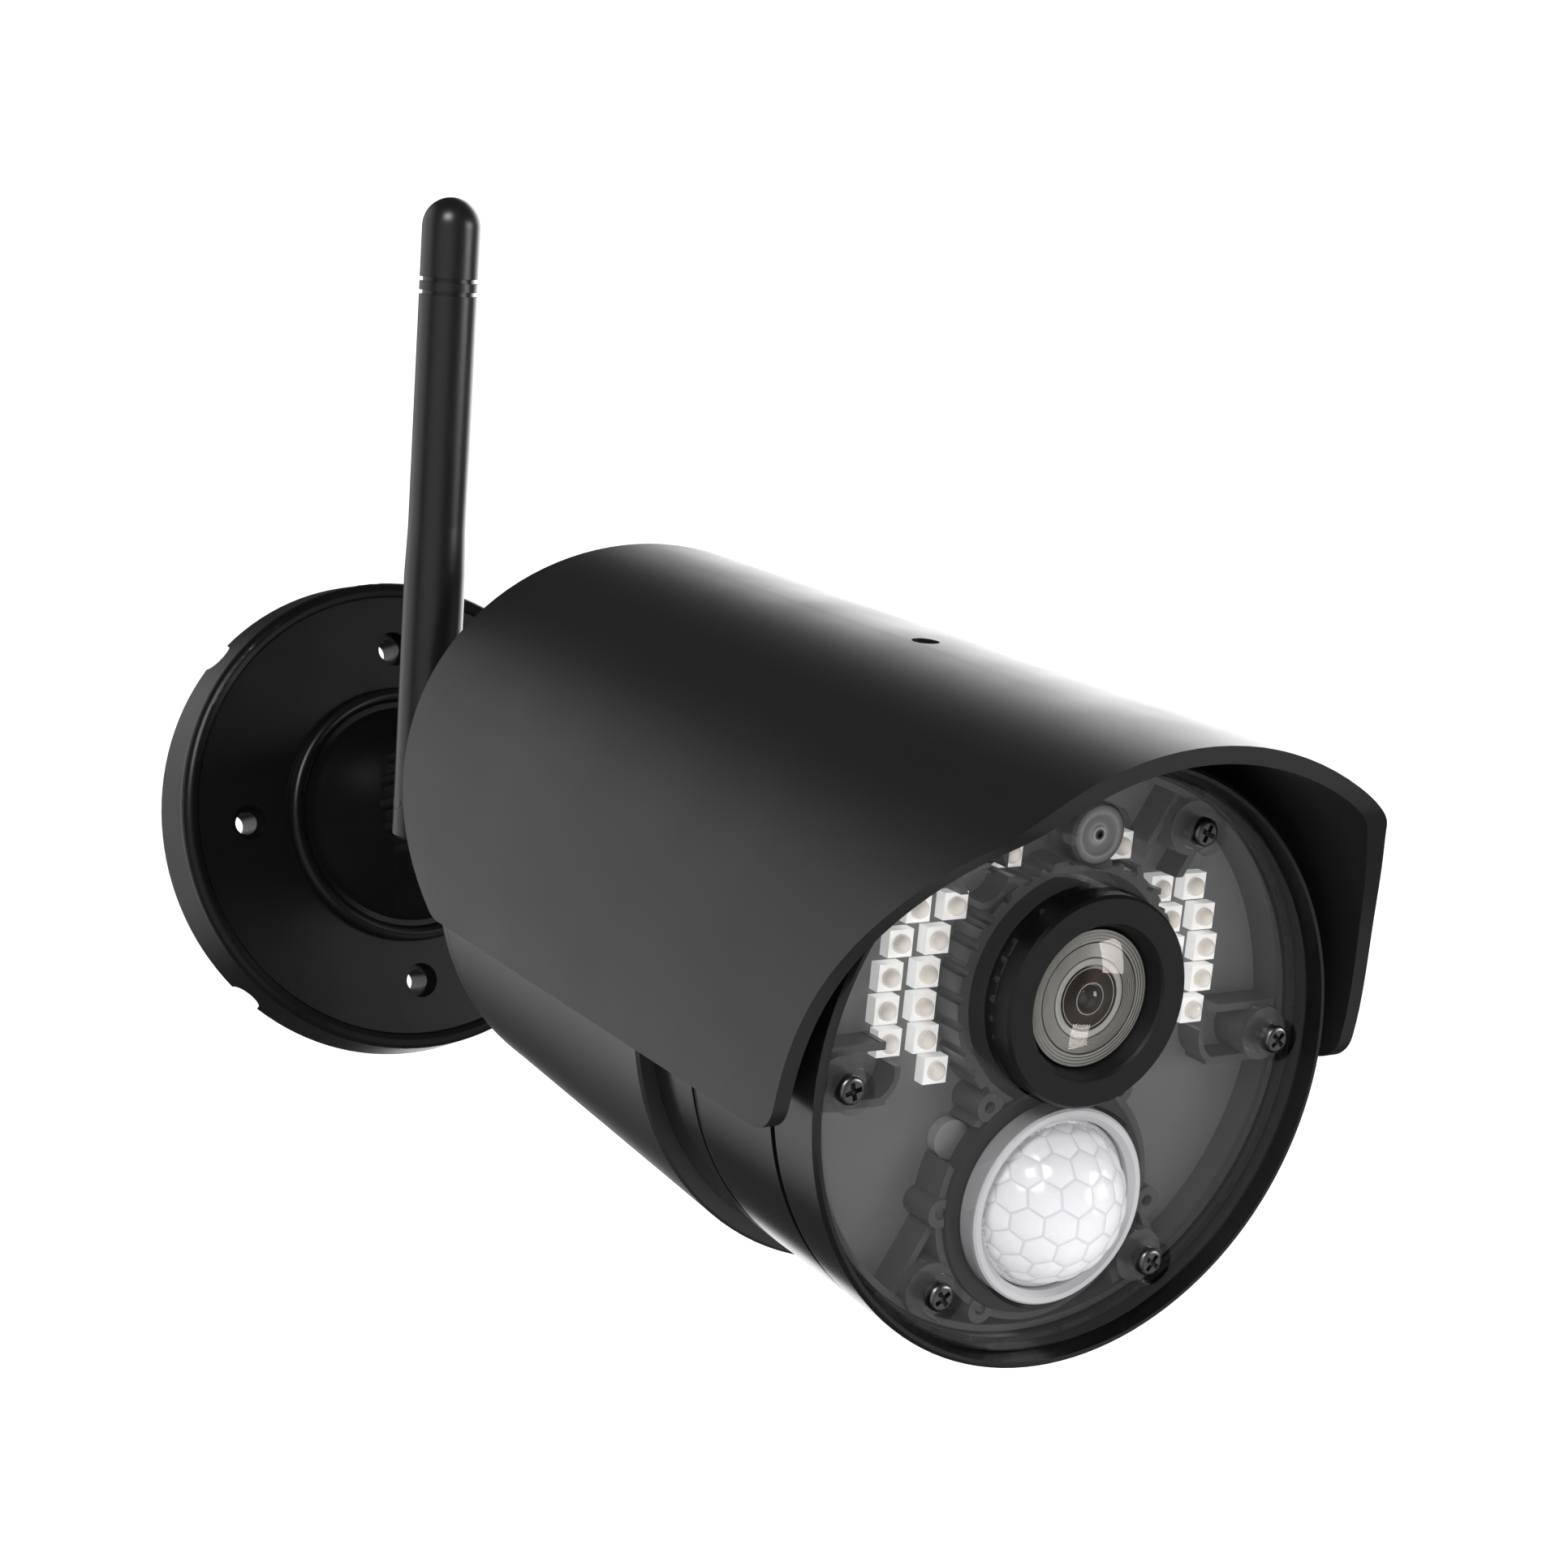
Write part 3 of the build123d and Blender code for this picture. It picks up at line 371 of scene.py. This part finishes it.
def motion_dome():
    """White dome of hexagonal lenslets on its flange, with painted shade along the lenslets' borders."""
    base_r, rise, seat = 10.8, 8.5, 3.2       # the dome's foot, its height and the flange's station
    flange_r, flange, bore_r = 11.3, 1.0, 10.0
    cell, fine = 2.55, 12                     # a lenslet's corner radius; grid steps in it
    bulge, painted_shade_from = 0.20, 0.97                 # a lenslet's height; share where its border of painted shade starts
    ball = (base_r**2 + rise**2) / (2 * rise)
    reach = ball * math.acos((ball - rise) / ball)      # arc from the pole to the flange
    step = cell / fine
    snap = 0.55 * step                        # points this close to the flange are put on it
    rows = int(reach / (step * ROOT3 / 2)) + 2
    build = bmesh.new()
    points, painted_crease = {}, {}
    for j in range(-rows, rows + 1):
        for i in range(-2 * rows, 2 * rows + 1):
            u, v = step * j * ROOT3 / 2, step * (i + j / 2)
            arc = math.hypot(u, v)
            if arc > reach + snap:
                continue
            share = from_middle(u, v, cell)
            radius = ball - bulge * min(share, 1.0) ** 2
            if arc > reach - snap:
                arc, radius = reach, ball
            tilt, around = arc / ball, math.atan2(v, u)
            points[i, j] = build.verts.new((
                radius * math.sin(tilt) * math.cos(around),
                seat - rise + ball - radius * math.cos(tilt),
                PIR_Z + radius * math.sin(tilt) * math.sin(around),
            ))
            painted_crease[i, j] = share > painted_shade_from
    for i, j in points:
        for corners in (((i, j), (i + 1, j), (i, j + 1)), ((i, j), (i, j + 1), (i - 1, j + 1))):
            if all(c in points for c in corners):
                face = build.faces.new([points[c] for c in corners])
                face.smooth = True
                # faces on a lenslet's border take the painted-shade material
                face.material_index = 1 if any(painted_crease[c] for c in corners) else 0
    rim = [edge for edge in build.edges if edge.is_boundary]
    for radius, station in ((flange_r, seat), (flange_r, seat + flange), (bore_r, seat + flange)):
        made = bmesh.ops.extrude_edge_only(build, edges=rim)["geom"]
        for vert in (g for g in made if isinstance(g, bmesh.types.BMVert)):
            out = Vector((vert.co.x, vert.co.z - PIR_Z)).normalized() * radius
            vert.co = (out.x, station, PIR_Z + out.y)
        rim = [g for g in made if isinstance(g, bmesh.types.BMEdge)]
    add_piece("motion_dome", build, [pir_white, pir_crease_painted_shade], "pir_lens")


GLASS_R = 8.9                     # rim of the lens's front glass
GLASS_SEAT = 0.7                  # station of that rim
TRAP_FACE = GLASS_SEAT + 0.2      # station of the rings behind the glass
TRAP_BORE = 4.3                   # radius of the opening in the rings
CORE_BACK = 5.4                   # station where the inner lens ends


def front_glass():
    """Domed glass, slightly hollow behind."""
    rise, hollow, lip = 2.6, 0.9, 0.1
    glass = dome_profile(GLASS_R, GLASS_SEAT, rise, 0)
    glass += run(0, (0.0, GLASS_SEAT - hollow), smooth=True) + run(0, (GLASS_R, GLASS_SEAT + lip))
    add_piece("front_glass", lathe(glass, LENS_Z), [lens_glass], "lens_front_element")


def light_trap():
    """Two bands of fine ridges, a pale ring inside them, and the barrel behind; the crests and the pale
    ring are lightened with painted reflection.
    """
    dark, painted_grey, painted_band = range(3)
    trap = []
    for outer, inner, ridges in ((GLASS_R, 7.3, 4), (7.15, 5.35, 9)):
        pitch = (outer - inner) / ridges
        for i in range(ridges):
            crest = outer - pitch * i
            # each crest's face takes the painted reflection tone
            trap += run(painted_grey, (crest, TRAP_FACE)) + run(dark, (crest - 0.8 * pitch, TRAP_FACE - 0.06))
        trap += run(dark, (inner, TRAP_FACE), (inner - 0.05, TRAP_FACE + 0.15), (inner - 0.1, TRAP_FACE))
    # the pale ring is painted reflection
    trap += run(painted_band, (5.25, TRAP_FACE), (4.8, TRAP_FACE + 0.08), smooth=True)
    trap += run(dark, (TRAP_BORE + 0.05, TRAP_FACE), (TRAP_BORE, TRAP_FACE + 0.5), (TRAP_BORE, 9.0))
    trap += run(dark, (4.9, 12.4), (4.9, 24.0), (6.0, 24.0), (6.0, 9.4))      # the barrel's tail
    trap += run(dark, (9.7, 9.4), (9.7, 3.3), (8.95, 3.2))                    # its flange in the hood
    add_piece(
        "light_trap", lathe(trap, LENS_Z), [trap_dark, trap_grey_painted_reflection, trap_band_painted_reflection],
        "lens_barrel", "lens_retaining_ring",
    )


def inner_lens():
    """Bronze element with two thin pale rings of painted reflection and a small dark lens in the middle.
    """
    black, bronze, painted_grey, pupil = range(4)
    edge, pupil_r = TRAP_BORE - 0.05, 1.8
    core = run(black, (edge, CORE_BACK), (edge, TRAP_FACE + 0.15)) + run(painted_grey, (4.0, TRAP_FACE + 0.05))
    core += run(bronze, (3.88, TRAP_FACE + 0.05), (3.1, TRAP_FACE - 0.12), smooth=True)
    core += run(black, (2.3, TRAP_FACE - 0.2)) + run(painted_grey, (2.12, TRAP_FACE - 0.22))
    core += run(black, (1.98, TRAP_FACE - 0.25), (pupil_r + 0.1, TRAP_FACE - 0.1))
    core += dome_profile(pupil_r, TRAP_FACE - 0.1, 0.9, pupil, 10) + run(black, (0.0, CORE_BACK))
    add_piece(
        "inner_lens", lathe(core, LENS_Z), [trap_black, trap_bronze, trap_grey_painted_reflection, core_glass],
        "lens_inner_element",
    )


motion_dome()
front_glass()
light_trap()
inner_lens()

# ---- studio ---------------------------------------------------------------------------
FLOOR_Z = -0.16
BEHIND = (0.536, 0.844, 0.0)      # level direction away from the photographer


def make_floor():
    """Pale floor that curves up into a backdrop, away from the object."""
    reach, flat, bend, top, steps = 6.0, 1.2, 1.0, 5.0, 12
    rows = [(y, 0.0) for y in (-reach, -2.0, 0.0, flat)]
    for step in range(1, steps + 1):
        a = math.radians(90 * step / steps)
        rows.append((flat + bend * math.sin(a), bend - bend * math.cos(a)))
    rows.append((flat + bend, top))
    turn = Matrix.Rotation(math.atan2(-BEHIND[0], BEHIND[1]), 4, "Z")
    mesh = bpy.data.meshes.new("floor")
    build = bmesh.new()
    grid = [
        [build.verts.new(turn @ Vector((x, y, FLOOR_Z + z))) for x in (-reach, 0.0, reach)]
        for y, z in rows
    ]
    for low, high in zip(grid, grid[1:]):
        for i in range(2):
            build.faces.new((low[i], low[i + 1], high[i + 1], high[i]))
    build.to_mesh(mesh)
    build.free()
    for face in mesh.polygons:
        face.use_smooth = True
    mat, tree, shader = material(
        "floor_white", (0.8, 0.8, 0.8), 0.9, Emission_Color=(1, 1, 1, 1), Emission_Strength=0.72
    )
    mottle(tree, shader, 0.85, 0.95, 3.0)
    mesh.materials.append(mat)
    floor = bpy.data.objects.new("floor", mesh)
    floor.visible_glossy = False
    floor.visible_shadow = False
    bpy.context.scene.collection.objects.link(floor)


# name, place, target, width and height in metres, power in watts
LIGHTS = (
    ("key", (-0.80, -1.12, 0.75), (0, -0.16, -0.02), 0.60, 0.55, 14.0),
    ("card", (0.84, -0.91, -0.02), (0, -0.20, -0.04), 0.50, 0.42, 5.0),
)


def area_light(name, place, target, width, height, power):
    data = bpy.data.lights.new(name, "AREA")
    data.shape = "RECTANGLE"
    data.size = width
    data.size_y = height
    data.energy = power
    light = bpy.data.objects.new(name, data)
    light.location = place
    aim = Vector(target) - Vector(place)
    light.rotation_euler = aim.to_track_quat("-Z", "Y").to_euler()
    bpy.context.scene.collection.objects.link(light)


def cosine(degrees):
    return math.cos(math.radians(degrees))


def direction(azimuth, elevation):
    """Unit vector: degrees to the right of BEHIND, degrees above level."""
    right = Vector((BEHIND[1], -BEHIND[0], 0))
    a = math.radians(azimuth)
    level = Vector(BEHIND) * math.cos(a) + right * math.sin(a)
    return level * cosine(elevation) + Vector((0, 0, math.sin(math.radians(elevation))))


# Soft boxes of the studio, as the object's surfaces mirror them:
# (azimuth, elevation, outer edge, full core, strength), the edge and core in degrees from the middle
SKY_BASE = 0.06
SOFT_BOXES = (
    (-73, 13, 48, 22, 1.0),       # long wall of light on the left
    (26, 16, 34, 14, 3.7),        # bright card behind, to the right
    (-2, -9, 14, 6, 1.5),         # bright table behind, below
    (-165, -16, 46, 15, 0.6),     # front fill
    (106, -46, 34, 14, 0.4),      # table's glow in front, to the right
)


def make_world():
    """White background; the object itself meets a few soft boxes in a dim room."""
    world = bpy.data.worlds.new("studio")
    world.use_nodes = True
    tree = world.node_tree
    background = tree.nodes["Background"]
    background.inputs["Color"].default_value = (1, 1, 1, 1)
    coords = tree.nodes.new("ShaderNodeTexCoord")

    def soft_box(azimuth, elevation, edge, core, strength):
        facing = tree.nodes.new("ShaderNodeVectorMath")
        facing.operation = "DOT_PRODUCT"
        facing.inputs[1].default_value = direction(azimuth, elevation).normalized()
        glow = tree.nodes.new("ShaderNodeMapRange")
        glow.interpolation_type = "SMOOTHSTEP"
        glow.inputs["From Min"].default_value = cosine(edge)
        glow.inputs["From Max"].default_value = cosine(core)
        glow.inputs["To Max"].default_value = strength
        tree.links.new(coords.outputs["Generated"], facing.inputs[0])
        tree.links.new(facing.outputs["Value"], glow.inputs["Value"])
        return glow.outputs["Result"]

    seen = None
    for box in SOFT_BOXES:
        total = tree.nodes.new("ShaderNodeMath")
        total.operation = "ADD"
        tree.links.new(soft_box(*box), total.inputs[0])
        if seen:
            tree.links.new(seen, total.inputs[1])
        else:
            total.inputs[1].default_value = SKY_BASE
        seen = total.outputs[0]
    path = tree.nodes.new("ShaderNodeLightPath")
    shown = tree.nodes.new("ShaderNodeMix")
    shown.inputs["B"].default_value = 1.0
    tree.links.new(path.outputs["Is Camera Ray"], shown.inputs["Factor"])
    tree.links.new(seen, shown.inputs["A"])
    tree.links.new(shown.outputs["Result"], background.inputs["Strength"])
    bpy.context.scene.world = world


VIEW_FROM = (-0.2222, -0.4866, -0.0353)
VIEW_RIGHT = (0.8437, -0.5285, -0.0936)
VIEW_UP = (0.0441, -0.1056, 0.9934)
FOCAL, SENSOR = 66.2, 36.0        # mm


def make_camera():
    """The photographer's camera, a little below the object's middle and looking slightly up."""
    data = bpy.data.cameras.new("camera")
    data.sensor_width = SENSOR
    data.lens = FOCAL
    camera = bpy.data.objects.new("camera", data)
    right = Vector(VIEW_RIGHT).normalized()
    back = right.cross(Vector(VIEW_UP)).normalized()
    up = back.cross(right).normalized()
    pose = Matrix((right, up, back)).transposed().to_4x4()
    pose.translation = Vector(VIEW_FROM)
    camera.matrix_world = pose
    bpy.context.scene.collection.objects.link(camera)
    bpy.context.scene.camera = camera


make_floor()
make_world()
make_camera()
for light in LIGHTS:
    area_light(*light)
bpy.context.scene.view_settings.view_transform = "Standard"
